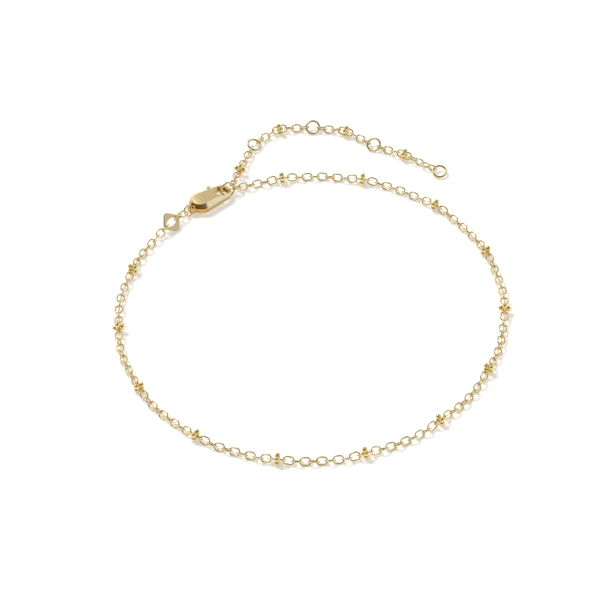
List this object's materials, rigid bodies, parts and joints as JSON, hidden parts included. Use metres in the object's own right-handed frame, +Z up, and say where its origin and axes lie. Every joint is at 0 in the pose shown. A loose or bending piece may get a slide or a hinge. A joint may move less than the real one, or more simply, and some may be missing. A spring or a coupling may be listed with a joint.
{
  "type": "chain anklet",
  "caption": "Oval-link chain anklet with small ball clusters, a lobster clasp, a pierced tag and an extender with rings, closed in a loop.",
  "frame": {"origin": "centre of the anklet's bounding box in plan, on the surface that it lies on", "axes": "+Z up from the surface, +Y from the loop towards the extender, +X to the right of it"},
  "size_m": [0.0732, 0.0894, 0.003],
  "materials": {
    "chain_wire": "polished",
    "granules": "polished",
    "ring_wire": "polished",
    "tag_metal": "satin",
    "clasp_metal": "polished, fine-brushed faces"
  },
  "bodies": {
    "anklet": {"chain": "chain_wire", "extender_chain": "chain_wire", "hook_ring": "ring_wire", "clasp_ring": "ring_wire", "tag": "tag_metal", "clasp_body": "clasp_metal", "clasp_pin": "clasp_metal", "end_ring": "ring_wire", "station_01": "granules", "station_02": "granules", "station_03": "granules", "station_04": "granules", "station_05": "granules", "station_06": "granules", "station_07": "granules", "station_08": "granules", "station_09": "granules", "station_10": "granules", "station_11": "granules", "station_12": "granules", "station_13": "granules", "extender_station_1": "granules", "extender_station_2": "granules", "extender_station_3": "granules", "extender_station_4": "granules", "extender_ring_1": "ring_wire", "extender_ring_2": "ring_wire", "extender_ring_3": "ring_wire"},
    "lever": {"clasp_lever": "clasp_metal"}
  },
  "joints": [
    {"name": "lever_hinge", "type": "hinge", "parent": "anklet", "child": "lever", "pos_m": [-0.02054, 0.0237, 0.00112], "axis": [0, 0, -1], "range_deg": [0, 24], "stiffness_Nm_per_rad": 0.004}
  ]
}
